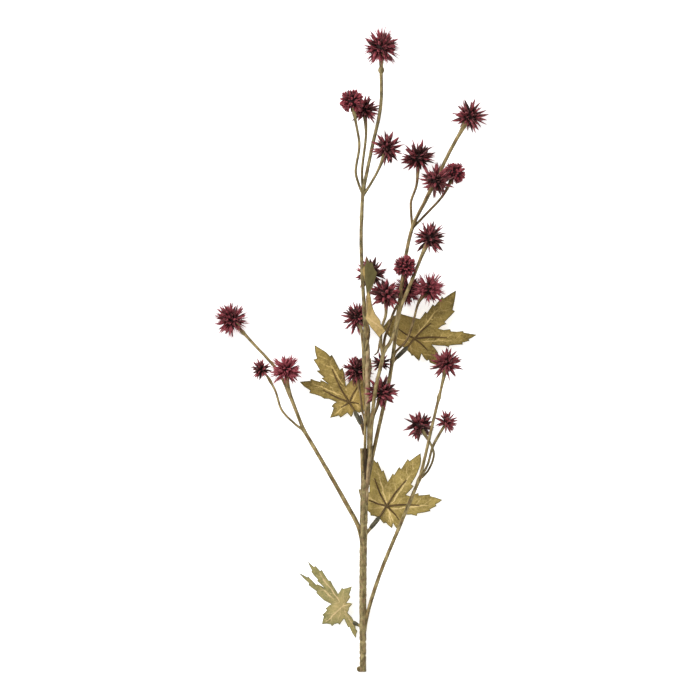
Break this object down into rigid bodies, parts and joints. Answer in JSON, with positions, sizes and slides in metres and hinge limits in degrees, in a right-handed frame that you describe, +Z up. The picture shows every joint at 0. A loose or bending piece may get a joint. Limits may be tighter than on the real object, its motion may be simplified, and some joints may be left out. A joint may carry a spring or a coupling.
{
  "type": "sanicle stem",
  "caption": "Decorative sanicle stem with thin forked branches, spiky burgundy burr heads and lobed gold-olive leaves, lying flat on a surface.",
  "frame": {"origin": "middle of the bounding box, on the surface that the spray lies on", "axes": "+Y along the stalk from its cut end to the top head, +Z up from the surface, +X to the right as seen from above"},
  "size_m": [0.3022, 0.7178, 0.076],
  "materials": {
    "stalk": "matt, taped, khaki olive",
    "twig": "matt, khaki brown",
    "leaf": "matt gold olive cloth with lighter veins",
    "burr": "matt burgundy, darker core, pink edges"
  },
  "bodies": {
    "root": {"main_stem": "stalk", "branch_inner": "twig", "branch_top": "twig", "branch_centre": "twig", "branch_right": "twig", "branch_left": "twig", "branch_low_right": "twig", "leaf_left": "leaf", "leaf_right": "leaf", "leaf_low_right": "leaf", "leaf_low_left": "leaf", "leaf_top": "leaf", "burr_a": "burr", "burr_b": "burr", "burr_c": "burr", "burr_d": "burr", "burr_e": "burr", "burr_f": "burr", "burr_g": "burr", "burr_h": "burr", "burr_i": "burr", "burr_j": "burr", "burr_k": "burr", "burr_l": "burr", "burr_m": "burr", "burr_n": "burr", "burr_o": "burr", "burr_p": "burr", "burr_q": "burr", "burr_r": "burr", "burr_s": "burr", "burr_t": "burr", "burr_u": "burr", "burr_v": "burr", "burr_w": "burr", "burr_x": "burr"}
  },
  "joints": []
}
